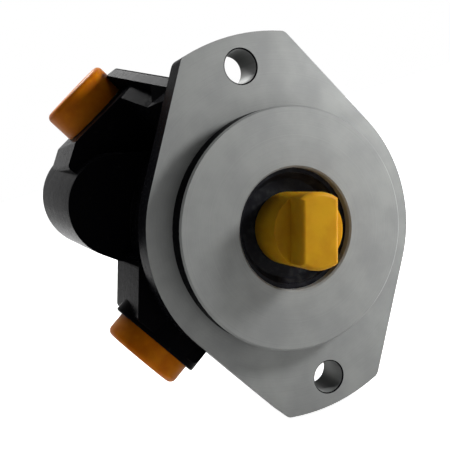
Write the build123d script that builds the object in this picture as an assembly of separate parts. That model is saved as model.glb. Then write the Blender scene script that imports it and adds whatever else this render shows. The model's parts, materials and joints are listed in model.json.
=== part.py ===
"""Hydraulic vane pump with a two-bolt pilot flange and a tang drive, millimetres.

The origin is the centre of the flange's mounting face, on the shaft axis.
-Y runs out of the shaft end, +Y into the pump body, and +Z passes through the upper bolt hole.
Angles are measured in the XZ plane, from +X towards +Z.
"""
from build123d import *
from math import cos, radians, sin
import os

# ---------------------------------------------------------------- flange
PILOT_RADIUS = 40.0
PILOT_HEIGHT = 7.5
PILOT_CHAMFER = 0.6
FLANGE_THICKNESS = 13.0
FLANGE_SIDE_RADIUS = 48.5      # rounded left and right sides, about the shaft axis
FLANGE_SIDE_ANGLE = 31.5       # where the straight sides leave that arc
FLANGE_EAR_WALL = 4.5          # metal outside a bolt hole
FLANGE_EAR_CORNER = 3.0
FLANGE_BACK_ROUND = 3.5
BOLT_SPACING = 110.0
BOLT_HOLE_RADIUS = 5.5
BOLT_HOLE_CHAMFER = 0.5
FLANGE_EAR_RADIUS = BOLT_SPACING / 2 + BOLT_HOLE_RADIUS + FLANGE_EAR_WALL

# ---------------------------------------------------------------- bores on the shaft axis
SEAL_BORE_RADIUS = 20.0
SEAL_RECESS = 3.0              # pilot face to the seal's rim
SEAL_WIDTH = 7.0
SEAL_MOUTH_CHAMFER = 0.6
SEAL_CASE_WALL = 1.0
SEAL_RIM_WALL = 1.5
SEAL_LIP_BACK = 3.0            # how far the case's back stops short of the shaft
GARTER_RADIUS = 12.4
GARTER_WIRE = 0.6
LEDGE_RADIUS = 18.0
LEDGE_WIDTH = 2.5
BEARING_OUTER = 23.5
BEARING_INNER = 10.0
BEARING_WIDTH = 14.0
BEARING_LAND = 2.6             # race shoulders, from the ball circle
BEARING_CHAMFER = 0.4
BALL_RADIUS = 3.97
BALL_COUNT = 8
CAGE_HALF_WIDTH = 4.6
CAGE_HALF_WALL = 1.2
CIRCLIP_DEPTH = 1.3
CIRCLIP_THICKNESS = 1.75
CIRCLIP_WALL = 3.0
CIRCLIP_GAP = 9.0
CAVITY_RADIUS = 31.0

# ---------------------------------------------------------------- pumping cartridge
CAVITY_START = 27.0
FRONT_PLATE_WIDTH = 14.0
FRONT_HUB_WIDTH = 6.0
FRONT_HUB_STEP = 1.5
PLATE_GAP = 2.5                # cartridge to the cavity's wall
CAM_WIDTH = 22.0
CAM_WALL = 6.0                 # thinnest wall, at the cam's long axis
CAM_LIFT = 2.5
PLATE_RADIUS = CAVITY_RADIUS - PLATE_GAP
FRONT_HUB_RADIUS = PLATE_RADIUS - FRONT_HUB_STEP
CAM_MAJOR = PLATE_RADIUS - CAM_WALL
CAM_MINOR = CAM_MAJOR - CAM_LIFT
CAM_TILT = 30.0                # angle of the cam's long axis
REAR_PLATE_WIDTH = 10.0
REAR_LAND_WIDTH = 5.5
VANE_COUNT = 10
VANE_THICKNESS = 2.0
VANE_HEIGHT = 0.4 * CAM_MINOR
VANE_RETRACT = 0.8
SIDE_CLEARANCE = 0.02
SLOT_CLEARANCE = 0.02
TIP_CLEARANCE = 0.05
ROTOR_CLEARANCE = 0.1
DOWEL_RADIUS = 2.0
DOWEL_CIRCLE = (CAM_MINOR + PLATE_RADIUS) / 2
DOWEL_FRONT = 6.0
DOWEL_REAR = 4.0
KIDNEY_INSET = 1.5             # middle of the kidney ports, inside the cam's short axis
KIDNEY_RADIUS = CAM_MINOR - KIDNEY_INSET
KIDNEY_WIDTH = 3.6
KIDNEY_SPAN = 44.0
KIDNEY_DEPTH = 2.5

# ---------------------------------------------------------------- shaft
SHAFT_RADIUS = 10.0
TANG_TIP = 20.5                # mounting face to the end of the tang
TANG_LENGTH = 7.0
TANG_WIDTH = 9.0
TANG_ANGLE = 73.0
COLLAR_RADIUS = 12.5
COLLAR_WIDTH = 3.0
SHAFT_MID_RADIUS = 9.0
SHAFT_CHAMFER = 0.8
SPLINE_ROOT = 6.8
SPLINE_TIP = 7.8
SPLINE_COUNT = 8
SPLINE_TOOTH = 2.6
JOURNAL_RADIUS = 6.4
JOURNAL_TAIL = 2.0
RUNNING_CLEARANCE = 0.03
SNAP_THICKNESS = 1.2
SNAP_DEPTH = 0.6
SNAP_WALL = 2.0
SNAP_GAP = 5.5
BUSH_WALL = 2.4
SNAP_ROOM = 0.6

# ---------------------------------------------------------------- rear end
CHAMBER_LENGTH = 15.0
PLATE_SPRING_RADIUS = 15.0
PLATE_SPRING_WIRE = 1.4
PLATE_SPRING_TURNS = 2.5
COVER_WIDTH = 9.0
COVER_CHAMFER = 1.0
COVER_DISH_RADIUS = CAVITY_RADIUS - 9.0
COVER_DISH_DEPTH = 2.0
COVER_BUTTON_RADIUS = 7.0
COVER_FIT = 0.03
RING_THICKNESS = 2.0
RING_DEPTH = 1.5
RING_WALL = 4.5
RING_GAP = 14.0
REAR_LIP = 4.0
ORING_WIRE = 1.3
ORING_GROOVE = 3.2
ORING_CLEARANCE = 0.03

# ---------------------------------------------------------------- casting outside
BARREL_FRONT_RADIUS = 43.0
BARREL_REAR_RADIUS = 38.0
BARREL_STEP = 54.0
BARREL_TAPER = 8.0
PORT_HOLE_RADIUS = 10.25
PORT_HOLE_DEPTH = 20.0
PORT_RECESS_RADIUS = 12.0
PORT_RECESS_DEPTH = 6.5
PORT_BOSS_RADIUS = 17.5
PORT_BOSS_ROUND = 0.8
PRESSURE_ANGLE = 120.0
PRESSURE_STATION = 79.0
PRESSURE_FACE = 66.0
PRESSURE_PASSAGE = 9.1         # drilled from the threaded hole into the pump
SUCTION_ANGLE = 210.0
SUCTION_STATION = 30.9
SUCTION_FACE = 56.0
SUCTION_PASSAGE = 9.3

# ---------------------------------------------------------------- cast webs and rib
# Reaches are taken along a port's axis, back from its face, and sides across it.
WEB_ROUND = 2.0
PRESSURE_WEB_START = 50.0
PRESSURE_WEB_END = 97.0
PRESSURE_WEB_DROP = 1.0
PRESSURE_WEB_RIGHT = 14.0
PRESSURE_WEB_LEFT = 19.0
PRESSURE_WEB_SHOULDER = 133.0  # where its flank meets the valve's boss, as an angle round that boss
SUCTION_WEB_START = 15.0
SUCTION_WEB_END = 47.0
SUCTION_WEB_DROP = 1.5
SUCTION_WEB_NEAR = 12.0
SUCTION_WEB_FAR = 14.5
SUCTION_WEB_SHOULDER = 26.5    # the flank's upper corner, towards the valve's boss
SUCTION_WEB_LEAN = 13.8        # how far that corner lies nearer the shaft
SUCTION_WEB_ROOT = 10.0        # and from there on, how far in it still stands clear
SUCTION_WEB_SLOPE = 5.5
VALVE_WEB_END = 74.0
RIB_LOW = 54.5                 # top of the rib at the flange's back, from the shaft axis
RIB_CREST = 73.0
RIB_CREST_STATION = 66.0
RIB_END = 90.0
RIB_INNER = 12.0
RIB_OUTER = 17.4
RIB_ROUND = 2.0
FOOT_INNER = 5.0               # the rib's foot, beside it
FOOT_TOP = 57.0
FOOT_END = 33.0
FOOT_SLOPE_WIDTH = 4.5         # the sloped corner between the rib and its foot

# ---------------------------------------------------------------- flow-control valve
VALVE_X = -42.0
VALVE_Z = 20.6
VALVE_FRONT = 43.0
VALVE_REAR = 104.0
VALVE_FRONT_RADIUS = 19.3
VALVE_REAR_RADIUS = 22.4
VALVE_REAR_RISE = 3.2          # the rear end's centre, above the bore's axis
VALVE_REAR_SHIFT = 1.4         # and towards the shaft
VALVE_FRONT_ROUND = 1.0
VALVE_REAR_ROUND = 5.0
VALVE_BORE = 7.5
VALVE_FLOOR = 4.0
SPOOL_START = 54.0
SPOOL_LENGTH = 16.0
SPOOL_SKIRT_RADIUS = 5.2
SPOOL_SKIRT_DEPTH = 9.0
SPOOL_GROOVE = 0.8
SPOOL_GROOVE_WIDTH = 1.0
SPOOL_GROOVE_STATIONS = (4.0, 8.0)
SPOOL_CHAMFER = 0.5
SPOOL_FIT = 0.03
SPOOL_TRAVEL = 7.0
SPRING_GAP = 0.25
VALVE_SPRING_WIRE = 0.8
VALVE_SPRING_TURNS = 5
PLUG_NOSE_GAP = 12.0
PLUG_STOP_RADIUS = 2.5
PLUG_STOP_GAP = 0.3
PLUG_HEAD = 6.0
PLUG_HEX = 22.0
PLUG_FLANGE = 13.0
PLUG_FLANGE_WIDTH = 2.0
PLUG_THREAD = 9.0
PLUG_THREAD_LENGTH = 12.0
PLUG_THREAD_FIT = 0.02
PLUG_NOSE_FIT = 0.1
PLUG_ORING_WIRE = 0.9
CROSS_HOLE_RADIUS = 2.4
BYPASS_STATION = 65.3
SENSE_STATION = 77.0

# ---------------------------------------------------------------- transport caps
CAP_RADIUS = 15.0
PRESSURE_CAP_HEAD = 12.7
SUCTION_CAP_HEAD = 8.0
CAP_ROUND = 2.4
CAP_STEM = 6.0
CAP_STEM_FIT = 0.1
CAP_WALL = 1.8
CAP_ROOM = 0.4                 # round a cap, where the casting stands beside it
SHAFT_CAP_WALL = 2.0
SHAFT_CAP_FIT = 0.1
SHAFT_CAP_END_GAP = 0.3
SHAFT_CAP_SLEEVE_END = 1.0
SHAFT_CAP_ROUND = 1.6

# ---------------------------------------------------------------- stations along the shaft
SEAL_FRONT = -PILOT_HEIGHT + SEAL_RECESS
SEAL_BACK = SEAL_FRONT + SEAL_WIDTH
BEARING_START = SEAL_BACK + LEDGE_WIDTH
BEARING_END = BEARING_START + BEARING_WIDTH
CAM_START = CAVITY_START + FRONT_PLATE_WIDTH
CAM_END = CAM_START + CAM_WIDTH
PLATE_END = CAM_END + REAR_PLATE_WIDTH
COVER_START = PLATE_END + CHAMBER_LENGTH
COVER_END = COVER_START + COVER_WIDTH
BODY_END = COVER_END + RING_THICKNESS + REAR_LIP
GARTER_STATION = SEAL_BACK - 1.9
ROTOR_RADIUS = CAM_MINOR - ROTOR_CLEARANCE
VANE_TIP = CAM_MINOR - TIP_CLEARANCE
TANG_ROOT = -TANG_TIP + TANG_LENGTH
VALVE_BORE_START = VALVE_FRONT + VALVE_FLOOR
SPOOL_END = SPOOL_START + SPOOL_LENGTH
PORTS = {"pressure": (PRESSURE_ANGLE, PRESSURE_STATION, PRESSURE_FACE),
         "suction": (SUCTION_ANGLE, SUCTION_STATION, SUCTION_FACE)}
PASSAGES = {"pressure": PRESSURE_PASSAGE, "suction": SUCTION_PASSAGE}
CAP_HEADS = {"pressure": PRESSURE_CAP_HEAD, "suction": SUCTION_CAP_HEAD}
BALL_CIRCLE = (BEARING_OUTER + BEARING_INNER) / 2
BALL_STATION = (BEARING_START + BEARING_END) / 2
ORING_RADIUS = CAVITY_RADIUS - ORING_WIRE - ORING_CLEARANCE


def slab(sketch, start, end):
    """A sketch in (X, Z), carried from one station of the shaft axis to another."""
    return extrude(Plane.XZ.offset(-end) * sketch, end - start)


def disc(radius, start, end, x=0.0, z=0.0):
    return slab(Pos(x, z) * Circle(radius), start, end)


def turned(points, x=0.0, z=0.0):
    """A body turned about the shaft axis, or a parallel one, from (radius, station) points."""
    profile = make_face(Polyline(*points, close=True))
    return Pos(x, 0, z) * revolve(profile, Axis.Y)


def direction(angle):
    return Vector(cos(radians(angle)), 0, sin(radians(angle)))


def port_plane(angle, station, reach):
    """A plane square to a port's axis, at a distance from the shaft axis."""
    return Plane(origin=direction(angle) * reach + Vector(0, station, 0), x_dir=(0, 1, 0), z_dir=direction(angle))


def port_cylinder(name, radius, low, high):
    angle, station, _ = PORTS[name]
    return extrude(port_plane(angle, station, low) * Circle(radius), high - low)


def outer_rim(shape, angle):
    """The round edge that lies furthest from the shaft axis, along a port's axis."""
    return shape.edges().filter_by(GeomType.CIRCLE).sort_by(Axis((0, 0, 0), tuple(direction(angle))))[-1]


def torus_at(radius, wire, station, x=0.0, z=0.0):
    section = Pos(radius, station) * Circle(wire)
    return Pos(x, 0, z) * revolve(section, Axis.Y)


# ---------------------------------------------------------------- housing
def flange_outline():
    half_width = FLANGE_SIDE_RADIUS / cos(radians(FLANGE_SIDE_ANGLE))
    half_height = FLANGE_SIDE_RADIUS / sin(radians(FLANGE_SIDE_ANGLE))
    rhombus = Polygon((half_width, 0), (0, half_height), (-half_width, 0), (0, -half_height), align=None)
    sides = rhombus.vertices().sort_by(Axis.X)
    rounded = fillet([sides[0], sides[-1]], FLANGE_SIDE_RADIUS)
    outline = rounded & Circle(FLANGE_EAR_RADIUS)
    ears = [v for v in outline.vertices() if Vector(v.X, v.Y).length > FLANGE_EAR_RADIUS - 0.01]
    return fillet(ears, FLANGE_EAR_CORNER)


def flange():
    plate = slab(flange_outline(), 0, FLANGE_THICKNESS)
    back = plate.faces().sort_by(Axis.Y)[-1]
    plate = fillet(back.edges(), FLANGE_BACK_ROUND)
    pilot = turned([(0, 1), (PILOT_RADIUS, 1), (PILOT_RADIUS, PILOT_CHAMFER - PILOT_HEIGHT),
                    (PILOT_RADIUS - PILOT_CHAMFER, -PILOT_HEIGHT), (0, -PILOT_HEIGHT)])
    return plate + pilot


def bolt_holes():
    """Two through holes, each with a light chamfer at the mounting face."""
    drill = None
    for side in (1, -1):
        hole = turned([(0, -1), (BOLT_HOLE_RADIUS + BOLT_HOLE_CHAMFER + 1, -1),
                       (BOLT_HOLE_RADIUS, BOLT_HOLE_CHAMFER), (BOLT_HOLE_RADIUS, FLANGE_THICKNESS + 1),
                       (0, FLANGE_THICKNESS + 1)], 0, side * BOLT_SPACING / 2)
        drill = hole if drill is None else drill + hole
    return drill


def barrel():
    return turned([(0, FLANGE_THICKNESS - 1), (BARREL_FRONT_RADIUS, FLANGE_THICKNESS - 1),
                   (BARREL_FRONT_RADIUS, BARREL_STEP), (BARREL_REAR_RADIUS, BARREL_STEP + BARREL_TAPER),
                   (BARREL_REAR_RADIUS, BODY_END - 1), (BARREL_REAR_RADIUS - 1, BODY_END), (0, BODY_END)])


def valve_boss():
    """The valve's boss, drafted so that its rear end stands higher and wider than its flat front."""
    front = Plane.XZ.offset(-VALVE_FRONT) * Pos(VALVE_X, VALVE_Z) * Circle(VALVE_FRONT_RADIUS)
    rear_centre = Pos(VALVE_X + VALVE_REAR_SHIFT, VALVE_Z + VALVE_REAR_RISE)
    rear = Plane.XZ.offset(-VALVE_REAR) * rear_centre * Circle(VALVE_REAR_RADIUS)
    boss = loft([front, rear], ruled=True)
    ends = boss.faces().sort_by(Axis.Y)
    boss = fillet(ends[-1].edges(), VALVE_REAR_ROUND)
    return fillet(boss.faces().sort_by(Axis.Y)[0].edges(), VALVE_FRONT_ROUND)


def valve_web():
    """Flat flanks from the valve's boss to the barrel."""
    valve = Pos(VALVE_X, VALVE_Z) * Circle(VALVE_FRONT_RADIUS)
    return slab(make_hull(valve.edges() + Circle(CAVITY_RADIUS - 1).edges()), VALVE_FRONT, VALVE_WEB_END)


def port_boss(name):
    boss = port_cylinder(name, PORT_BOSS_RADIUS, CAVITY_RADIUS - 4, PORTS[name][2])
    rim = outer_rim(boss, PORTS[name][0])
    return fillet(rim, PORT_BOSS_ROUND)


def port_point(name, reach, side):
    """A point of the XZ plane: a reach along a port's axis, and a distance across it."""
    angle = PORTS[name][0]
    spot = direction(angle) * reach + direction(angle - 90) * side
    return spot.X, spot.Z


def web(corners, start, end):
    """A cast web square to the shaft, its outer corners rounded."""
    outline = Polygon(*corners, align=None)
    outer = [v for v in outline.vertices() if Vector(v.X, v.Y).length > BARREL_FRONT_RADIUS]
    return slab(fillet(outer, WEB_ROUND), start, end)


def pressure_web():
    reach = PRESSURE_FACE - PRESSURE_WEB_DROP
    shoulder = Vector(VALVE_X + VALVE_REAR_SHIFT, 0, VALVE_Z + VALVE_REAR_RISE)
    shoulder += direction(PRESSURE_WEB_SHOULDER) * (VALVE_REAR_RADIUS - 1)
    return web([(0, 0), port_point("pressure", 0, PRESSURE_WEB_RIGHT),
                port_point("pressure", reach, PRESSURE_WEB_RIGHT),
                port_point("pressure", reach + 1, -PRESSURE_WEB_LEFT),
                (shoulder.X, shoulder.Z), (VALVE_X, VALVE_Z)], PRESSURE_WEB_START, PRESSURE_WEB_END)


def suction_web():
    reach = SUCTION_FACE - SUCTION_WEB_DROP
    upper = reach - SUCTION_WEB_LEAN
    return web([(0, 0), port_point("suction", upper - SUCTION_WEB_ROOT, SUCTION_WEB_SHOULDER - SUCTION_WEB_SLOPE),
                port_point("suction", upper, SUCTION_WEB_SHOULDER),
                port_point("suction", reach, SUCTION_WEB_FAR),
                port_point("suction", reach - 1, -SUCTION_WEB_NEAR),
                port_point("suction", 0, -SUCTION_WEB_NEAR)], SUCTION_WEB_START, SUCTION_WEB_END)


def plate_beside_port(profile, inner, outer):
    """A plate along the shaft beside the pressure port; its profile is (reach, station)."""
    side = direction(PRESSURE_ANGLE - 90)
    plane = Plane(origin=side * inner, x_dir=direction(PRESSURE_ANGLE), z_dir=side * -1)
    return extrude(plane * make_face(Polyline(*profile, close=True)), inner - outer)


def rib():
    """The rib that climbs from the flange and runs on past the pressure port, clear of its cap."""
    start = FLANGE_THICKNESS - 1
    body = plate_beside_port([(0, start), (RIB_LOW, start), (RIB_CREST, RIB_CREST_STATION), (RIB_CREST, RIB_END),
                              (0, RIB_END)], RIB_INNER, RIB_OUTER)
    side, up = direction(PRESSURE_ANGLE - 90), direction(PRESSURE_ANGLE)
    crest = [e for e in body.edges() if e.center().dot(side) > RIB_OUTER - 0.1 and e.center().dot(up) > RIB_LOW]
    room = port_cylinder("pressure", CAP_RADIUS + CAP_ROOM, PRESSURE_FACE, 2 * PRESSURE_FACE)
    return fillet(crest, RIB_ROUND) - room


def rib_foot():
    """Low beside the flange, then a ramp up to the top of the pressure port's web."""
    top = PRESSURE_FACE - PRESSURE_WEB_DROP
    start, end = FLANGE_THICKNESS - 1, PRESSURE_WEB_START + 1
    return plate_beside_port([(0, start), (FOOT_TOP, start), (FOOT_TOP, FOOT_END), (top, PRESSURE_WEB_START),
                              (top, end), (0, end)], FOOT_INNER, RIB_INNER + 1)


def rib_slope():
    """The corner that slopes from the rib's top to its foot and dies out towards the flange."""
    start = FLANGE_THICKNESS - 1
    climb = (RIB_CREST - RIB_LOW) / (RIB_CREST_STATION - start)
    top, tip = RIB_LOW + climb * (FOOT_END - start), start + (FOOT_TOP - RIB_LOW) / climb
    outer, sunk = RIB_INNER - FOOT_SLOPE_WIDTH, 0.5
    up, side, along = direction(PRESSURE_ANGLE), direction(PRESSURE_ANGLE - 90), Vector(0, 1, 0)
    section = [(outer, FOOT_TOP), (RIB_INNER, top), (RIB_INNER + sunk, top - sunk),
               (RIB_INNER + sunk, FOOT_TOP - sunk), (outer, FOOT_TOP - sunk)]
    end = make_face(Polyline(*[side * s + up * r + along * FOOT_END for s, r in section], close=True))
    apex = side * (RIB_INNER + sunk) + up * (FOOT_TOP - sunk) + along * tip
    return loft([end, Vertex(*apex)])


def housing_bores():
    seal_mouth = SEAL_BORE_RADIUS + SEAL_MOUTH_CHAMFER
    groove = BEARING_OUTER + CIRCLIP_DEPTH
    ring_groove = CAVITY_RADIUS + RING_DEPTH
    bore = turned([
        (0, -PILOT_HEIGHT - 1), (seal_mouth + 1, -PILOT_HEIGHT - 1),
        (SEAL_BORE_RADIUS, -PILOT_HEIGHT + SEAL_MOUTH_CHAMFER), (SEAL_BORE_RADIUS, SEAL_BACK),
        (LEDGE_RADIUS, SEAL_BACK), (LEDGE_RADIUS, BEARING_START), (BEARING_OUTER, BEARING_START),
        (BEARING_OUTER, BEARING_END), (groove, BEARING_END), (groove, BEARING_END + CIRCLIP_THICKNESS),
        (BEARING_OUTER, BEARING_END + CIRCLIP_THICKNESS), (BEARING_OUTER, CAVITY_START),
        (CAVITY_RADIUS, CAVITY_START), (CAVITY_RADIUS, COVER_END), (ring_groove, COVER_END),
        (ring_groove, COVER_END + RING_THICKNESS), (CAVITY_RADIUS, COVER_END + RING_THICKNESS),
        (CAVITY_RADIUS, BODY_END - 1), (CAVITY_RADIUS + 2, BODY_END + 1), (0, BODY_END + 1)])
    for name, (_, _, face) in PORTS.items():
        bore += port_cylinder(name, PORT_RECESS_RADIUS, face - PORT_RECESS_DEPTH, face + 1)
        bore += port_cylinder(name, PORT_HOLE_RADIUS, face - PORT_HOLE_DEPTH, face)
        bore += port_cylinder(name, PASSAGES[name], CAVITY_RADIUS - 2, face)
    thread_end = VALVE_REAR - PLUG_THREAD_LENGTH
    seat = VALVE_REAR - 2 * PLUG_ORING_WIRE - ORING_CLEARANCE
    mouth = PLUG_THREAD + 2 * (PLUG_ORING_WIRE + ORING_CLEARANCE)
    bore += turned([(0, VALVE_BORE_START), (VALVE_BORE, VALVE_BORE_START), (VALVE_BORE, thread_end),
                    (PLUG_THREAD, thread_end), (PLUG_THREAD, seat), (mouth, seat), (mouth, VALVE_REAR + 1),
                    (0, VALVE_REAR + 1)], VALVE_X, VALVE_Z)
    axis = Vector(VALVE_X, 0, VALVE_Z)
    for station in (BYPASS_STATION, SENSE_STATION):
        mouth = Plane(origin=axis + Vector(0, station, 0), x_dir=(0, 1, 0), z_dir=axis * -1)
        bore += extrude(mouth * Circle(CROSS_HOLE_RADIUS), axis.length - CAVITY_RADIUS + 2)
    return bore


def pump_housing():
    """The one-piece iron casting."""
    body = flange() + barrel() + valve_boss() + valve_web() + pressure_web() + suction_web()
    body += rib() + rib_foot() + rib_slope()
    for name in PORTS:
        body += port_boss(name)
    return body - housing_bores() - bolt_holes()


# ---------------------------------------------------------------- sealing and bearing
def seal_case():
    rim, floor = SEAL_BORE_RADIUS - SEAL_RIM_WALL, SEAL_BACK - SEAL_CASE_WALL
    hole = SHAFT_RADIUS + SEAL_LIP_BACK
    return turned([(rim, SEAL_FRONT), (SEAL_BORE_RADIUS, SEAL_FRONT), (SEAL_BORE_RADIUS, SEAL_BACK),
                   (hole, SEAL_BACK), (hole, floor), (rim, floor)])


def seal_lip():
    """The rubber lip, moulded to the inside of the case, dished round the shaft."""
    bore = SHAFT_RADIUS + RUNNING_CLEARANCE
    rim = SEAL_BORE_RADIUS - SEAL_RIM_WALL
    face = -SHAFT_CAP_SLEEVE_END + 0.5
    floor = SEAL_BACK - SEAL_CASE_WALL
    tip = floor - GARTER_WIRE
    lip = turned([(bore, face), (rim - 2, face), (rim, SEAL_FRONT + 1), (rim, floor),
                  (SHAFT_RADIUS + SEAL_LIP_BACK, floor), (SHAFT_RADIUS + SEAL_LIP_BACK / 2, tip), (bore, tip)])
    return lip - garter(0)


def garter(clearance):
    """The coiled spring that hugs the lip, as a plain ring."""
    return torus_at(GARTER_RADIUS, GARTER_WIRE - clearance, GARTER_STATION)


def bearing_race(outer):
    groove = torus_at(BALL_CIRCLE, BALL_RADIUS + RUNNING_CLEARANCE, BALL_STATION)
    low, high = (BALL_CIRCLE + BEARING_LAND, BEARING_OUTER) if outer else (BEARING_INNER, BALL_CIRCLE - BEARING_LAND)
    ring = disc(high, BEARING_START, BEARING_END) - disc(low, BEARING_START, BEARING_END)
    ring = chamfer(ring.edges().filter_by(GeomType.CIRCLE), BEARING_CHAMFER)
    return ring - groove


def around(count, radius, shape):
    """Copies of a shape spread evenly about the shaft axis."""
    copies = []
    for index in range(count):
        turn = 360 / count * index
        copies.append(Rot(0, -turn, 0) * Pos(radius, 0, 0) * shape)
    return copies


def bearing_balls():
    return Compound(around(BALL_COUNT, BALL_CIRCLE, Pos(0, BALL_STATION, 0) * Sphere(BALL_RADIUS)))


def bearing_cage():
    start, end = BALL_STATION - CAGE_HALF_WIDTH, BALL_STATION + CAGE_HALF_WIDTH
    ring = disc(BALL_CIRCLE + CAGE_HALF_WALL, start, end) - disc(BALL_CIRCLE - CAGE_HALF_WALL, start, end)
    pocket = Cylinder(BALL_RADIUS + 2 * RUNNING_CLEARANCE, 2 * BALL_RADIUS)
    for hole in around(BALL_COUNT, BALL_CIRCLE, Pos(0, BALL_STATION, 0) * Rot(0, 90, 0) * pocket):
        ring -= hole
    return ring


def circlip(inner, outer, start, thickness, gap):
    """An open ring, split at the bottom."""
    ring = disc(outer, start, start + thickness) - disc(inner, start, start + thickness)
    slit = Pos(0, start + thickness / 2, -outer) * Box(gap, thickness * 2, outer)
    return ring - slit


# ---------------------------------------------------------------- shaft and cartridge
def shaft_spline(clearance):
    profile = Circle(SPLINE_ROOT + clearance)
    tooth = Rectangle(SPLINE_TIP + clearance, SPLINE_TOOTH + 2 * clearance, align=(Align.MIN, Align.CENTER))
    for index in range(SPLINE_COUNT):
        profile += Rot(0, 0, 360 / SPLINE_COUNT * index) * tooth
    return profile


def drive_shaft():
    snap = BEARING_START - SNAP_THICKNESS
    tail = PLATE_END + JOURNAL_TAIL
    core = turned([
        (0, TANG_ROOT), (SHAFT_RADIUS - SHAFT_CHAMFER, TANG_ROOT), (SHAFT_RADIUS, TANG_ROOT + SHAFT_CHAMFER),
        (SHAFT_RADIUS, snap), (SHAFT_RADIUS - SNAP_DEPTH, snap), (SHAFT_RADIUS - SNAP_DEPTH, BEARING_START),
        (SHAFT_RADIUS, BEARING_START), (SHAFT_RADIUS, BEARING_END), (COLLAR_RADIUS, BEARING_END),
        (COLLAR_RADIUS, BEARING_END + COLLAR_WIDTH), (SHAFT_MID_RADIUS, BEARING_END + COLLAR_WIDTH),
        (SHAFT_MID_RADIUS, CAM_START), (JOURNAL_RADIUS, CAM_START), (JOURNAL_RADIUS, CAM_END),
        (JOURNAL_RADIUS - SNAP_DEPTH, CAM_END), (JOURNAL_RADIUS - SNAP_DEPTH, CAM_END + SNAP_THICKNESS),
        (JOURNAL_RADIUS, CAM_END + SNAP_THICKNESS), (JOURNAL_RADIUS, tail - 1), (JOURNAL_RADIUS - 1, tail),
        (0, tail)])
    tang_outline = Circle(SHAFT_RADIUS) & Rot(0, 0, TANG_ANGLE) * Rectangle(SHAFT_RADIUS * 2, TANG_WIDTH)
    tang = slab(tang_outline, -TANG_TIP, TANG_ROOT)
    return core + tang + slab(shaft_spline(0), CAM_START, CAM_END)


def rotor():
    start, end = CAM_START + SIDE_CLEARANCE, CAM_END - SIDE_CLEARANCE
    floor = VANE_TIP - VANE_HEIGHT - VANE_RETRACT
    outline = Circle(ROTOR_RADIUS)
    slot = Pos(floor, 0) * Rectangle(ROTOR_RADIUS, VANE_THICKNESS + 2 * SLOT_CLEARANCE,
                                     align=(Align.MIN, Align.CENTER))
    root = Pos(floor, 0) * Circle(VANE_THICKNESS * 0.7)
    for index in range(VANE_COUNT):
        turn = Rot(0, 0, 360 / VANE_COUNT * index)
        outline -= turn * slot
        outline -= turn * root
    return slab(outline - shaft_spline(RUNNING_CLEARANCE), start, end)


def cam_radius(angle):
    """Inner radius of the cam ring, two rises and two falls in a turn."""
    middle, rise = (CAM_MAJOR + CAM_MINOR) / 2, (CAM_MAJOR - CAM_MINOR) / 2
    return middle + rise * cos(radians(2 * (angle - CAM_TILT)))


def cam_ring():
    steps = 24
    points = [(cam_radius(a) * cos(radians(a)), cam_radius(a) * sin(radians(a)))
              for a in (360 / steps * index for index in range(steps))]
    track = make_face(Spline(*points, periodic=True))
    ring = slab(Circle(PLATE_RADIUS) - track, CAM_START, CAM_END)
    return ring - dowels(DOWEL_RADIUS)


def vane(index):
    """One vane, drawn back so that its tip clears the cam all the way round."""
    start, end = CAM_START + SIDE_CLEARANCE, CAM_END - SIDE_CLEARANCE
    blade = Pos(VANE_TIP - VANE_HEIGHT, 0) * Rectangle(VANE_HEIGHT - VANE_THICKNESS / 2, VANE_THICKNESS,
                                                       align=(Align.MIN, Align.CENTER))
    blade += Pos(VANE_TIP - VANE_THICKNESS / 2, 0) * Circle(VANE_THICKNESS / 2)
    return slab(Rot(0, 0, 360 / VANE_COUNT * index) * blade, start, end)


def dowels(radius):
    spots = [direction(angle) * DOWEL_CIRCLE for angle in (CAM_TILT + 90, CAM_TILT - 90)]
    return Compound([disc(radius, CAM_START - DOWEL_FRONT, CAM_END + DOWEL_REAR, p.X, p.Z) for p in spots])


def kidneys(start, end, first):
    """Two arc-shaped ports, opposite each other."""
    cut = None
    for turn in (first, first + 180):
        arc = CenterArc((0, 0), KIDNEY_RADIUS, turn - KIDNEY_SPAN / 2, KIDNEY_SPAN)
        port = slab(SlotArc(arc, KIDNEY_WIDTH), start, end)
        cut = port if cut is None else cut + port
    return cut


def front_side_plate():
    bore = SHAFT_MID_RADIUS + RUNNING_CLEARANCE
    hub_end = CAVITY_START + FRONT_HUB_WIDTH
    plate = turned([(bore, CAVITY_START), (FRONT_HUB_RADIUS, CAVITY_START), (FRONT_HUB_RADIUS, hub_end),
                    (PLATE_RADIUS, hub_end), (PLATE_RADIUS, CAM_START), (bore, CAM_START)])
    plate -= kidneys(CAM_START - KIDNEY_DEPTH, CAM_START, CAM_TILT + 45)
    plate -= kidneys(CAM_START - KIDNEY_DEPTH, CAM_START, CAM_TILT - 45)
    plate -= dowels(DOWEL_RADIUS)
    return plate


def pressure_plate():
    land = CAVITY_RADIUS - COVER_FIT
    land_start = PLATE_END - REAR_LAND_WIDTH
    bush = JOURNAL_RADIUS + BUSH_WALL
    recess = CAM_END + SNAP_THICKNESS + SNAP_ROOM
    recess_radius = bush + 1
    floor = CAVITY_RADIUS - 2 * ORING_WIRE - 2 * ORING_CLEARANCE
    groove = (land_start + PLATE_END - ORING_GROOVE) / 2
    plate = turned([
        (bush, recess), (recess_radius, recess), (recess_radius, CAM_END), (PLATE_RADIUS, CAM_END),
        (PLATE_RADIUS, land_start), (land, land_start), (land, groove), (floor, groove),
        (floor, groove + ORING_GROOVE), (land, groove + ORING_GROOVE), (land, PLATE_END), (bush, PLATE_END)])
    plate -= kidneys(CAM_END, PLATE_END, CAM_TILT - 45)
    plate -= kidneys(CAM_END, CAM_END + KIDNEY_DEPTH, CAM_TILT + 45)
    return plate - dowels(DOWEL_RADIUS)


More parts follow.
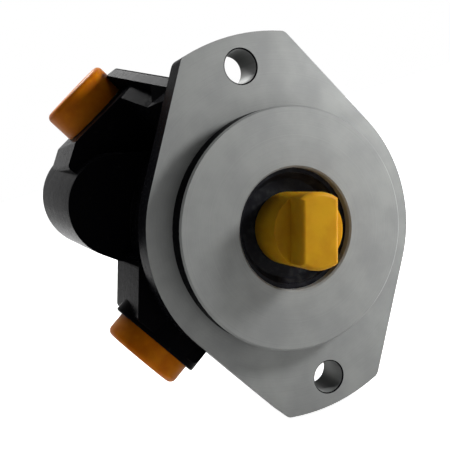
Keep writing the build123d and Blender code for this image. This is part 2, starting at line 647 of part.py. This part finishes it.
def rear_bush():
    start = CAM_END + SNAP_THICKNESS + SNAP_ROOM
    outer, inner = JOURNAL_RADIUS + BUSH_WALL, JOURNAL_RADIUS + RUNNING_CLEARANCE
    return disc(outer, start, PLATE_END) - disc(inner, start, PLATE_END)


def coil(radius, wire, start, end, turns, x=0.0, z=0.0):
    """A compression spring that just touches a seat at each end."""
    height = end - start - 2 * wire
    path = Helix(pitch=height / turns, height=height, radius=radius)
    section = Plane(origin=path @ 0, z_dir=path % 0) * Circle(wire)
    wound = sweep(section, path=path, is_frenet=True)
    return Pos(x, start + wire, z) * Rot(-90, 0, 0) * wound


def plate_spring():
    return coil(PLATE_SPRING_RADIUS, PLATE_SPRING_WIRE, PLATE_END, COVER_START, PLATE_SPRING_TURNS)


# ---------------------------------------------------------------- rear cover
def rear_cover():
    edge = CAVITY_RADIUS - COVER_FIT
    floor = CAVITY_RADIUS - 2 * ORING_WIRE - 2 * ORING_CLEARANCE
    groove = COVER_START + (COVER_WIDTH - ORING_GROOVE) / 2
    dish, button = COVER_END - COVER_DISH_DEPTH, COVER_END - COVER_DISH_DEPTH / 2
    return turned([
        (0, COVER_START), (edge - COVER_CHAMFER, COVER_START), (edge, COVER_START + COVER_CHAMFER),
        (edge, groove), (floor, groove), (floor, groove + ORING_GROOVE), (edge, groove + ORING_GROOVE),
        (edge, COVER_END), (COVER_DISH_RADIUS, COVER_END), (COVER_DISH_RADIUS - COVER_DISH_DEPTH, dish),
        (COVER_BUTTON_RADIUS + 1, dish), (COVER_BUTTON_RADIUS, button), (0, button)])


def cover_ring():
    outer = CAVITY_RADIUS + RING_DEPTH
    return circlip(outer - RING_WALL, outer, COVER_END, RING_THICKNESS, RING_GAP)


# ---------------------------------------------------------------- flow-control valve
def valve_spool():
    outer = VALVE_BORE - SPOOL_FIT
    groove = outer - SPOOL_GROOVE
    points = [(0, SPOOL_START + SPOOL_SKIRT_DEPTH), (SPOOL_SKIRT_RADIUS, SPOOL_START + SPOOL_SKIRT_DEPTH),
              (SPOOL_SKIRT_RADIUS, SPOOL_START), (outer, SPOOL_START)]
    for station in SPOOL_GROOVE_STATIONS:
        low = SPOOL_START + station - SPOOL_GROOVE_WIDTH / 2
        high = low + SPOOL_GROOVE_WIDTH
        points += [(outer, low), (groove, low), (groove, high), (outer, high)]
    points += [(outer, SPOOL_END - SPOOL_CHAMFER), (outer - SPOOL_CHAMFER, SPOOL_END), (0, SPOOL_END)]
    return turned(points, VALVE_X, VALVE_Z)


def valve_spring():
    end = SPOOL_START + SPOOL_SKIRT_DEPTH
    radius = SPOOL_SKIRT_RADIUS - VALVE_SPRING_WIRE - SPRING_GAP
    return coil(radius, VALVE_SPRING_WIRE, VALVE_BORE_START, end, VALVE_SPRING_TURNS, VALVE_X, VALVE_Z)


def valve_plug():
    nose, thread_start = SPOOL_END + PLUG_NOSE_GAP, VALVE_REAR - PLUG_THREAD_LENGTH
    neck, tip = PLUG_THREAD - PLUG_THREAD_FIT, VALVE_BORE - PLUG_NOSE_FIT
    flange_end, stop = VALVE_REAR + PLUG_FLANGE_WIDTH, SPOOL_END + PLUG_STOP_GAP
    stem = turned([(0, stop), (PLUG_STOP_RADIUS, stop), (PLUG_STOP_RADIUS, nose), (tip, nose),
                   (tip, thread_start), (neck, thread_start), (neck, VALVE_REAR), (PLUG_FLANGE, VALVE_REAR),
                   (PLUG_FLANGE, flange_end), (0, flange_end)], VALVE_X, VALVE_Z)
    hexagon = Pos(VALVE_X, VALVE_Z) * RegularPolygon(PLUG_HEX / 2, 6, major_radius=False)
    return stem + slab(hexagon, VALVE_REAR + 1, flange_end + PLUG_HEAD)


def valve_plug_o_ring():
    radius = PLUG_THREAD + PLUG_ORING_WIRE + ORING_CLEARANCE
    return torus_at(radius, PLUG_ORING_WIRE, VALVE_REAR - PLUG_ORING_WIRE - ORING_CLEARANCE / 2, VALVE_X, VALVE_Z)


# ---------------------------------------------------------------- transport caps
def port_cap(name):
    angle, station, face = PORTS[name]
    head = port_cylinder(name, CAP_RADIUS, face, face + CAP_HEADS[name])
    head = fillet(outer_rim(head, angle), CAP_ROUND)
    stem = PORT_RECESS_RADIUS - CAP_STEM_FIT
    plug = port_cylinder(name, stem, face - CAP_STEM, face + 0.5)
    pocket = port_cylinder(name, stem - CAP_WALL, face - CAP_STEM, face + CAP_HEADS[name] - CAP_WALL * 1.5)
    return head + plug - pocket


def shaft_cap():
    """The moulded cap that follows the tang and the round neck behind it."""
    bore = SHAFT_RADIUS + SHAFT_CAP_FIT
    wide = bore + SHAFT_CAP_WALL
    inner_end = -TANG_TIP - SHAFT_CAP_END_GAP
    thick = TANG_WIDTH + 2 * (SHAFT_CAP_WALL + SHAFT_CAP_FIT)
    tip = inner_end - SHAFT_CAP_WALL
    sides = Circle(2 * wide) - Rot(0, 0, TANG_ANGLE) * Rectangle(5 * wide, thick)
    body = disc(wide, tip, -SHAFT_CAP_SLEEVE_END) - slab(sides, tip - 1, TANG_ROOT - SHAFT_CAP_WALL)
    body = fillet(body.faces().sort_by(Axis.Y)[0].edges(), SHAFT_CAP_ROUND)
    slot = Rot(0, 0, TANG_ANGLE) * Rectangle(5 * wide, TANG_WIDTH + 2 * SHAFT_CAP_FIT)
    cheeks = slab(Circle(2 * wide) - slot, inner_end - 1, TANG_ROOT - SHAFT_CAP_FIT)
    return body - (disc(bore, inner_end, 1) - cheeks)


def parts():
    """Every piece of the pump, by the name of its node."""
    plate_groove = PLATE_END - REAR_LAND_WIDTH / 2
    cover_groove = COVER_START + COVER_WIDTH / 2
    pieces = {
        "pump_housing": pump_housing(),
        "seal_case": seal_case(),
        "seal_lip": seal_lip(),
        "seal_garter_spring": garter(RUNNING_CLEARANCE),
        "bearing_outer_race": bearing_race(True),
        "bearing_inner_race": bearing_race(False),
        "bearing_balls": bearing_balls(),
        "bearing_cage": bearing_cage(),
        "bearing_retaining_ring": circlip(BEARING_OUTER - CIRCLIP_WALL, BEARING_OUTER + CIRCLIP_DEPTH,
                                          BEARING_END, CIRCLIP_THICKNESS, CIRCLIP_GAP),
        "shaft_snap_ring": circlip(SHAFT_RADIUS - SNAP_DEPTH, SHAFT_RADIUS + SNAP_WALL,
                                   BEARING_START - SNAP_THICKNESS, SNAP_THICKNESS, SNAP_GAP),
        "drive_shaft": drive_shaft(),
        "front_side_plate": front_side_plate(),
        "cam_ring": cam_ring(),
        "rotor": rotor(),
        "rotor_snap_ring": circlip(JOURNAL_RADIUS - SNAP_DEPTH, JOURNAL_RADIUS + SNAP_WALL, CAM_END,
                                   SNAP_THICKNESS, SNAP_GAP),
        "dowel_pins": dowels(DOWEL_RADIUS),
        "pressure_plate": pressure_plate(),
        "pressure_plate_o_ring": torus_at(ORING_RADIUS, ORING_WIRE, plate_groove),
        "rear_bush": rear_bush(),
        "pressure_plate_spring": plate_spring(),
        "rear_cover": rear_cover(),
        "rear_cover_o_ring": torus_at(ORING_RADIUS, ORING_WIRE, cover_groove),
        "rear_cover_retaining_ring": cover_ring(),
        "valve_spool": valve_spool(),
        "valve_spring": valve_spring(),
        "valve_plug": valve_plug(),
        "valve_plug_o_ring": valve_plug_o_ring(),
        "pressure_port_cap": port_cap("pressure"),
        "suction_port_cap": port_cap("suction"),
        "shaft_cap": shaft_cap(),
    }
    for index in range(VANE_COUNT):
        pieces[f"vane_{index + 1:02d}"] = vane(index)
    return pieces


os.makedirs("parts", exist_ok=True)
for node, piece in parts().items():
    export_step(piece, f"parts/{node}.step")
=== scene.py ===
"""Looks of the hydraulic vane pump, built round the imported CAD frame, in metres.

Every CAD node keeps its own shape and gets a procedural material. The threads of the ports are modelled
here, because the solids only carry their plain bores.
"""
import json
import math

import bmesh
import bpy
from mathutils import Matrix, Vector


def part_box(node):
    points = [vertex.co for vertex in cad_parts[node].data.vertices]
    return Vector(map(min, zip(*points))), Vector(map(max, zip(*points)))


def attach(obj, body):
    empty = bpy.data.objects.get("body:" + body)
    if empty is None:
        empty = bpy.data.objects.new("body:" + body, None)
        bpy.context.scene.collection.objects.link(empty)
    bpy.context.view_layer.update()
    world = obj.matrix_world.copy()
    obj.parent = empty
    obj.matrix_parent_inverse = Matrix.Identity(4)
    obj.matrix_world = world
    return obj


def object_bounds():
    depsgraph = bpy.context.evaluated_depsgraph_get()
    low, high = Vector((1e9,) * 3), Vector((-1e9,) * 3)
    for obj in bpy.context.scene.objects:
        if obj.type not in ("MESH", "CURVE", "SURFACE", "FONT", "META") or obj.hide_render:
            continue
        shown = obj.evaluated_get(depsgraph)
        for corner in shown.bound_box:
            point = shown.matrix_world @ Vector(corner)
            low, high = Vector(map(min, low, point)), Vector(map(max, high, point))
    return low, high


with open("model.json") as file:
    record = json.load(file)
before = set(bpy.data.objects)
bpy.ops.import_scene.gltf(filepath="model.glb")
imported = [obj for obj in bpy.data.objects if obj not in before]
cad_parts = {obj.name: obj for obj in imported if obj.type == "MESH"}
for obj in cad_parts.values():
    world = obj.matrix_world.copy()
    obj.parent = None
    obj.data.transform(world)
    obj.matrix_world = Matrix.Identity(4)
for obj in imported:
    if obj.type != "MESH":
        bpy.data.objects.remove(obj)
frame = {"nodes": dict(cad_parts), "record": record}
cad_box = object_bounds()
nodes = frame["nodes"]
mounts = {mount["name"]: mount for mount in frame["record"]["mounts"]}
MM = 0.001


# ---------------------------------------------------------------- material building
class Shader:
    """One material's node tree, with short calls for the nodes that it is made of."""

    def __init__(self, name):
        self.material = bpy.data.materials.new(name)
        self.material.use_nodes = True
        self.tree = self.material.node_tree
        self.surface = self.tree.nodes["Principled BSDF"]
        inputs = self.tree.nodes.new("ShaderNodeTexCoord").outputs
        self.coordinates, self.normal = inputs["Object"], inputs["Normal"]

    def put(self, socket, value):
        if isinstance(value, bpy.types.NodeSocket):
            self.tree.links.new(value, socket)
        else:
            socket.default_value = value

    def set(self, **values):
        """Sets or links inputs of the Principled shader, such as base_color=..."""
        for name, value in values.items():
            title = name.replace("_", " ").title().replace("Ior", "IOR")
            self.put(self.surface.inputs[title], value)

    def math(self, operation, first, second=0.0):
        node = self.tree.nodes.new("ShaderNodeMath")
        node.operation = operation
        self.put(node.inputs[0], first)
        self.put(node.inputs[1], second)
        return node.outputs[0]

    def vector(self, operation, first, second=(0, 0, 0), output="Vector"):
        node = self.tree.nodes.new("ShaderNodeVectorMath")
        node.operation = operation
        self.put(node.inputs[0], first)
        self.put(node.inputs[1], second)
        return node.outputs[output]

    def split(self, vector):
        node = self.tree.nodes.new("ShaderNodeSeparateXYZ")
        self.put(node.inputs[0], vector)
        return node.outputs

    def step(self, value, low, high, dark=0.0, light=1.0):
        """A smooth change from dark to light as value goes from low to high."""
        node = self.tree.nodes.new("ShaderNodeMapRange")
        node.interpolation_type = "SMOOTHSTEP"
        self.put(node.inputs["Value"], value)
        for name, number in (("From Min", low), ("From Max", high), ("To Min", dark), ("To Max", light)):
            node.inputs[name].default_value = number
        return node.outputs["Result"]

    def noise(self, size, detail, roughness=0.55):
        """Soft grain whose blotches are about this many metres across."""
        node = self.tree.nodes.new("ShaderNodeTexNoise")
        self.put(node.inputs["Vector"], self.coordinates)
        node.inputs["Scale"].default_value = 1 / size
        node.inputs["Detail"].default_value = detail
        node.inputs["Roughness"].default_value = roughness
        return node.outputs["Fac"]

    def rings(self, centre, pitch):
        """Tool marks round an axis along Y: they change from one pass of the tool to the next."""
        x, _, z = self.split(self.vector("SUBTRACT", self.coordinates, centre))
        squared = self.math("ADD", self.math("MULTIPLY", x, x), self.math("MULTIPLY", z, z))
        node = self.tree.nodes.new("ShaderNodeTexNoise")
        node.noise_dimensions = "1D"
        self.put(node.inputs["W"], self.math("MULTIPLY", self.math("SQRT", squared), 1 / pitch))
        node.inputs["Scale"].default_value = 1.0
        node.inputs["Detail"].default_value = 2.0
        return node.outputs["Fac"]

    def mix(self, factor, first, second):
        node = self.tree.nodes.new("ShaderNodeMix")
        node.data_type = "RGBA"
        self.put(node.inputs["Factor"], factor)
        for name, colour in (("A", first), ("B", second)):
            socket = next(s for s in node.inputs if s.name == name and s.type == "RGBA")
            self.put(socket, colour if isinstance(colour, bpy.types.NodeSocket) else (*colour, 1))
        return next(s for s in node.outputs if s.type == "RGBA")

    def blend(self, factor, first, second):
        """A number between two others."""
        span = self.math("SUBTRACT", second, first)
        return self.math("ADD", first, self.math("MULTIPLY", factor, span))

    def bump(self, height, depth, strength):
        node = self.tree.nodes.new("ShaderNodeBump")
        self.put(node.inputs["Height"], height)
        self.put(node.inputs["Distance"], depth)
        self.put(node.inputs["Strength"], strength)
        self.set(normal=node.outputs["Normal"])

    def worn_and_highlit_edges(self, radius):
        """Near one on sharp outer edges, from how far a rounded normal leaves the true one; used for worn
        paint and for a painted highlight along edges.
        """
        bevel = self.tree.nodes.new("ShaderNodeBevel")
        bevel.samples = 4
        bevel.inputs["Radius"].default_value = radius
        true = self.tree.nodes.new("ShaderNodeNewGeometry").outputs["Normal"]
        alike = self.vector("DOT_PRODUCT", bevel.outputs["Normal"], true, "Value")
        return self.step(self.math("SUBTRACT", 1.0, alike), 0.02, 0.22)

    def inside(self, point, axis, radius):
        """One within a radius of a line through a point, for bored walls."""
        offset = self.vector("SUBTRACT", self.coordinates, tuple(point))
        cross = self.vector("CROSS_PRODUCT", offset, tuple(axis))
        return self.math("LESS_THAN", self.vector("LENGTH", cross, output="Value"), radius)


# ---------------------------------------------------------------- materials
PAINT = (0.0028, 0.0028, 0.0036)
# lighter paint for worn scuffs and edges, and a painted highlight along the edges
PAINT_WORN_AND_SHEEN = (0.026, 0.025, 0.027)
BARE_IRON = (0.215, 0.221, 0.214)
BARE_IRON_DARK = (0.180, 0.184, 0.182)
FLANGE_RIM_BROWN = (0.050, 0.026, 0.018)
PAINT_IOR = 1.03
SKIN_IOR = 1.12                    # rubber and plastic
FLANGE_BACK = 13 * MM              # station of the flange's rear face
MASK_MARGIN = 0.05 * MM            # how far a finish runs past the face or hole that bounds it
FACE_FRONT = 0.4                   # a machined face is left bare when its normal points forward by more than this; the pilot's side wall stays black, as painted shade
BORE_MARGIN = 3.2 * MM             # from the cam ring's rim out past the cavity's wall
PORT_MARGIN = 1.8 * MM             # from a port's bore out past its recess
RIM_BAND_START = 9.5 * MM              # a brownish band on the flange's rim, from here backwards
RIM_BAND_FULL = 12.6 * MM
TRANSLUCENCY = 0.35
SCATTER_DEPTH = 3.0 * MM
PORTS = ("pressure_port", "suction_port")


def casting():
    """Gloss black paint on a sand casting, with the mounting face, the pilot's face and the bores bare, and
    the pilot's side wall black as painted shade.
    """
    s = Shader("painted_casting")
    y = s.split(s.coordinates)[1]
    facing = s.split(s.normal)[1]
    bolts = mounts["flange_bolts"]["dims"]
    # the pilot's side wall faces sideways, so it keeps the black paint: painted shade for the dark band
    # beside the pilot
    bare = s.math("MULTIPLY", s.math("LESS_THAN", y, MASK_MARGIN), s.math("LESS_THAN", facing, -FACE_FRONT))
    bore = s.inside((0, 0, 0), (0, 1, 0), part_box("cam_ring")[1].x + BORE_MARGIN)
    bare = s.math("MAXIMUM", bare, bore)
    for side in (1, -1):
        centre = Vector((0, 0, side * bolts["spacing_y_mm"] / 2 * MM))
        hole = s.inside(centre, (0, 1, 0), bolts["hole_r_mm"] * MM + MASK_MARGIN)
        bare = s.math("MAXIMUM", bare, hole)
    for name in PORTS:
        mount = mounts[name]
        hole = s.inside(mount["pos_m"], mount["axis"], mount["dims"]["r_mm"] * MM + PORT_MARGIN)
        bare = s.math("MAXIMUM", bare, hole)

    cast = s.noise(1.0 * MM, 4.0)
    lumps = s.noise(7 * MM, 3.0)
    scuffs = s.math("MULTIPLY", s.step(s.noise(3.2 * MM, 6.0, roughness=0.7), 0.60, 0.74), 0.35)
    # scuffs are worn paint; the edges are partly worn paint and partly a painted highlight
    wear_and_sheen = s.math("MAXIMUM", s.math("MULTIPLY", s.worn_and_highlit_edges(0.45 * MM), 0.6), scuffs)
    painted = s.mix(wear_and_sheen, PAINT, PAINT_WORN_AND_SHEEN)
    on_flange = s.math("LESS_THAN", y, FLANGE_BACK + MASK_MARGIN)
    # a brownish band in blotches on the flange's rear rim
    rim = s.math("MULTIPLY", s.step(y, RIM_BAND_START, RIM_BAND_FULL), on_flange)
    painted = s.mix(s.math("MULTIPLY", rim, s.step(cast, 0.35, 0.7)), painted, FLANGE_RIM_BROWN)

    tool = s.rings((0, 0, 0), 0.42 * MM)
    stain = s.noise(13 * MM, 5.0)
    grain = s.math("ADD", s.math("MULTIPLY", tool, 0.18), s.math("MULTIPLY", stain, 0.82))
    iron = s.mix(s.step(grain, 0.32, 0.68), BARE_IRON_DARK, BARE_IRON)
    s.set(base_color=s.mix(bare, painted, iron), metallic=s.math("MULTIPLY", bare, 0.25),
          roughness=s.blend(bare, s.step(cast, 0.3, 0.8, 0.20, 0.30), s.step(grain, 0.3, 0.7, 0.56, 0.48)),
          ior=s.blend(bare, PAINT_IOR, 1.2))
    skin = s.math("ADD", s.math("MULTIPLY", cast, 0.3), lumps)
    s.bump(s.blend(bare, skin, s.math("MULTIPLY", tool, 0.006)), 0.16 * MM, 0.7)
    return s.material


def metal(name, colour, shade, rough, pitch, centre=(0, 0, 0)):
    """Turned or ground metal: marks round the axis and a little stain."""
    s = Shader(name)
    tool = s.rings(tuple(centre), pitch * MM)
    stain = s.noise(3.5 * MM, 4.0)
    grain = s.math("ADD", s.math("MULTIPLY", tool, 0.6), s.math("MULTIPLY", stain, 0.4))
    s.set(base_color=s.mix(s.step(grain, 0.35, 0.65), shade, colour), metallic=1.0,
          roughness=s.step(grain, 0.3, 0.7, rough + 0.08, rough - 0.05))
    s.bump(tool, 0.02 * MM, 0.6)
    return s.material


def rubber(name, colour, grey, rough):
    """Moulded rubber with a faint bloom."""
    s = Shader(name)
    bloom = s.noise(2.2 * MM, 4.0)
    s.set(base_color=s.mix(s.step(bloom, 0.42, 0.75), colour, grey), metallic=0.0,
          roughness=s.step(bloom, 0.3, 0.75, rough, rough + 0.2), ior=SKIN_IOR)
    s.bump(s.noise(0.25 * MM, 2.0), 0.02 * MM, 0.5)
    return s.material


def plastic(name, colour, deep):
    """Soft translucent polyethylene: deeper in tone where it is thick, with a satin moulded skin."""
    s = Shader(name)
    flow = s.noise(7 * MM, 3.0)
    fine = s.noise(0.45 * MM, 3.0)
    s.set(base_color=s.mix(s.step(flow, 0.3, 0.7), deep, colour), metallic=0.0,
          roughness=s.step(fine, 0.25, 0.75, 0.34, 0.48), ior=SKIN_IOR,
          subsurface_weight=TRANSLUCENCY, subsurface_scale=SCATTER_DEPTH)
    s.surface.inputs["Subsurface Radius"].default_value = (1.0, 0.35, 0.05)
    s.surface.subsurface_method = "RANDOM_WALK"
    s.bump(s.math("ADD", fine, s.math("MULTIPLY", flow, 0.8)), 0.03 * MM, 0.5)
    return s.material


valve_centre = (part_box("valve_plug")[0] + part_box("valve_plug")[1]) / 2
MATERIALS = {
    "casting": casting(),
    "cap": plastic("orange_polyethylene", (0.60, 0.18, 0.003), (0.48, 0.125, 0.002)),
    "tang_cap": plastic("yellow_polyethylene", (0.46, 0.245, 0.010), (0.40, 0.195, 0.008)),
    "case": rubber("coated_case", (0.006, 0.006, 0.008), (0.018, 0.018, 0.021), 0.26),
    "lip": rubber("lip_rubber", (0.007, 0.007, 0.009), (0.020, 0.021, 0.022), 0.42),
    "ring": rubber("o_ring_rubber", (0.006, 0.006, 0.006), (0.018, 0.018, 0.018), 0.35),
    "ground": metal("ground_steel", (0.52, 0.52, 0.52), (0.40, 0.40, 0.40), 0.22, 0.15),
    "polished": metal("bearing_steel", (0.62, 0.62, 0.62), (0.52, 0.52, 0.53), 0.12, 0.1),
    "turned": metal("turned_steel", (0.46, 0.46, 0.45), (0.33, 0.33, 0.33), 0.30, 0.25),
    "iron": metal("machined_iron", (0.26, 0.26, 0.255), (0.19, 0.19, 0.19), 0.42, 0.35),
    "spring": metal("phosphated_spring", (0.10, 0.095, 0.09), (0.05, 0.05, 0.05), 0.38, 0.2),
    "black_oxide": metal("black_oxide_steel", (0.045, 0.044, 0.046), (0.020, 0.020, 0.022), 0.30, 0.3),
    "bronze": metal("bush_bronze", (0.55, 0.36, 0.16), (0.42, 0.26, 0.11), 0.28, 0.15),
    "zinc": metal("zinc_plated_steel", (0.50, 0.49, 0.45), (0.38, 0.37, 0.34), 0.28, 0.3, valve_centre),
}
FINISHES = {
    "casting": ("pump_housing",),
    "cap": ("pressure_port_cap", "suction_port_cap"),
    "tang_cap": ("shaft_cap",),
    "case": ("seal_case",),
    "lip": ("seal_lip",),
    "ring": ("pressure_plate_o_ring", "rear_cover_o_ring", "valve_plug_o_ring"),
    "ground": ("drive_shaft", "rotor", "cam_ring", "dowel_pins", "valve_spool"),
    "polished": ("bearing_outer_race", "bearing_inner_race", "bearing_balls"),
    "turned": ("bearing_cage", "rear_cover"),
    "iron": ("front_side_plate", "pressure_plate"),
    "spring": ("seal_garter_spring", "pressure_plate_spring", "valve_spring"),
    "black_oxide": ("bearing_retaining_ring", "shaft_snap_ring", "rotor_snap_ring",
                    "rear_cover_retaining_ring"),
    "bronze": ("rear_bush",),
    "zinc": ("valve_plug",),
}


def finish_of(node):
    """The finish that a CAD node takes; the vanes are ground steel."""
    return next((finish for finish, names in FINISHES.items() if node in names), "ground")


def dress(item, material):
    """Gives an object one material alone."""
    item.data.materials.clear()
    item.data.materials.append(material)


for name, item in nodes.items():
    dress(item, MATERIALS[finish_of(name)])


# ---------------------------------------------------------------- threads
THREAD_PITCH = 1.5 * MM
THREAD_DEPTH = 0.24 * MM
THREAD_SINK = 0.05 * MM            # how far the ridge's foot lies in the bore's wall
THREAD_END = 1.0 * MM              # bare bore before and behind it
THREAD_SEGMENTS = 48
FOOT_HALF = 0.42                   # half widths of the ridge, as shares of the pitch
CREST_HALF = 0.08


def inner_thread(name, start, axis, radius, length):
    """The ridge of a thread inside a bore, wound as one strip that fades out at both ends."""
    turns = length / THREAD_PITCH
    side = axis.orthogonal().normalized()
    up = axis.cross(side)
    mesh = bmesh.new()
    rows = []
    for index in range(int(turns * THREAD_SEGMENTS) + 1):
        wound = index / THREAD_SEGMENTS
        turn = 2 * math.pi * wound
        fade = min(1.0, wound, turns - wound)
        out = side * math.cos(turn) + up * math.sin(turn)
        centre = start + axis * (THREAD_PITCH * wound)
        foot, crest = radius + THREAD_SINK, radius - max(fade, 0.0) * THREAD_DEPTH
        section = ((foot, -FOOT_HALF), (crest, -CREST_HALF), (crest, CREST_HALF), (foot, FOOT_HALF))
        rows.append([mesh.verts.new(centre + out * reach + axis * (along * THREAD_PITCH))
                     for reach, along in section])
    for first, second in zip(rows, rows[1:]):
        for corner in range(len(first) - 1):
            mesh.faces.new((first[corner], first[corner + 1], second[corner + 1], second[corner]))
    bmesh.ops.recalc_face_normals(mesh, faces=mesh.faces)
    data = bpy.data.meshes.new(name)
    mesh.to_mesh(data)
    mesh.free()
    ridge = bpy.data.objects.new(name, data)
    bpy.context.scene.collection.objects.link(ridge)
    return ridge


def port_threads():
    """The thread inside each port's bore."""
    for name in PORTS:
        mount = mounts[name]
        axis = Vector(mount["axis"])
        length = mount["dims"]["length_mm"] * MM
        start = Vector(mount["pos_m"]) - axis * (length / 2 - THREAD_END)
        radius = mount["dims"]["r_mm"] * MM
        ridge = inner_thread(f"{name}_thread", start, axis, radius, length - 2 * THREAD_END)
        dress(ridge, MATERIALS["iron"])
        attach(ridge, "housing")


port_threads()


# ---------------------------------------------------------------- floor, backdrop and light
FILL_LIGHT = 0.04                  # the white world's strength for rays that only light
FLOOR_SIZE = 6.0
FLOOR_DROP = 2 * MM                # below the pump's lowest point


def seen_rays(tree):
    """One for the rays that see a thing: straight from the eye, in metal and through glass."""
    path = tree.nodes.new("ShaderNodeLightPath")
    seen = path.outputs["Is Camera Ray"]
    for ray in ("Is Glossy Ray", "Is Transmission Ray"):
        join = tree.nodes.new("ShaderNodeMath")
        join.operation = "MAXIMUM"
        tree.links.new(seen, join.inputs[0])
        tree.links.new(path.outputs[ray], join.inputs[1])
        seen = join.outputs[0]
    return seen


def white_world():
    """White where it is seen, dim where it only lights."""
    world = bpy.data.worlds.new("studio")
    world.use_nodes = True
    bpy.context.scene.world = world
    tree = world.node_tree
    strength = tree.nodes.new("ShaderNodeMapRange")
    tree.links.new(seen_rays(tree), strength.inputs["Value"])
    strength.inputs["To Min"].default_value = FILL_LIGHT
    strength.inputs["To Max"].default_value = 1.0
    background = tree.nodes["Background"]
    background.inputs["Color"].default_value = (1, 1, 1, 1)
    tree.links.new(strength.outputs["Result"], background.inputs["Strength"])


def area_light(name, place, aim, size, power):
    """A round lamp of some metres across and some watts, turned to a point."""
    data = bpy.data.lights.new(name, "AREA")
    data.shape, data.size, data.energy = "DISK", size, power
    lamp = bpy.data.objects.new(name, data)
    lamp.location = place
    lamp.rotation_euler = (Vector(aim) - Vector(place)).to_track_quat("-Z", "Y").to_euler()
    bpy.context.scene.collection.objects.link(lamp)


def pale_floor():
    """The white floor under the pump, which isn't part of it."""
    bpy.ops.mesh.primitive_plane_add(size=FLOOR_SIZE, location=(0, 0, cad_box[0][2] - FLOOR_DROP))
    floor = bpy.context.object
    floor.name = "studio_floor"
    s = Shader("pale_floor")
    s.set(base_color=(0.9, 0.9, 0.9, 1), roughness=0.6, emission_color=(1, 1, 1, 1),
          emission_strength=seen_rays(s.tree))
    dress(floor, s.material)


white_world()
pale_floor()
area_light("key", (0.20, -0.13, 0.07), (0, 0, 0), 0.06, 0.82)
area_light("top", (0.12, -0.06, 0.55), (0, 0.04, 0), 0.30, 0.2)
area_light("rim", (-0.05, 0.50, 0.52), (0, 0.05, 0.03), 0.24, 5.0)


# ---------------------------------------------------------------- camera
CAMERA_PLACE = (-0.092727, -0.198462, 0.042727)
CAMERA_TURN = (80.2755, 16.4352, -22.7021)      # degrees about X, then Y, then Z
CAMERA_LENS = 53.04
CAMERA_SENSOR = 36.0


def camera():
    """The photograph's view: from the left of the shaft and a little above it, rolled to one side."""
    data = bpy.data.cameras.new("view")
    data.sensor_width = CAMERA_SENSOR
    data.lens = CAMERA_LENS
    eye = bpy.data.objects.new("view", data)
    bpy.context.scene.collection.objects.link(eye)
    eye.location = CAMERA_PLACE
    eye.rotation_euler = [math.radians(angle) for angle in CAMERA_TURN]
    bpy.context.scene.camera = eye


camera()
bpy.context.scene.view_settings.view_transform = "Standard"
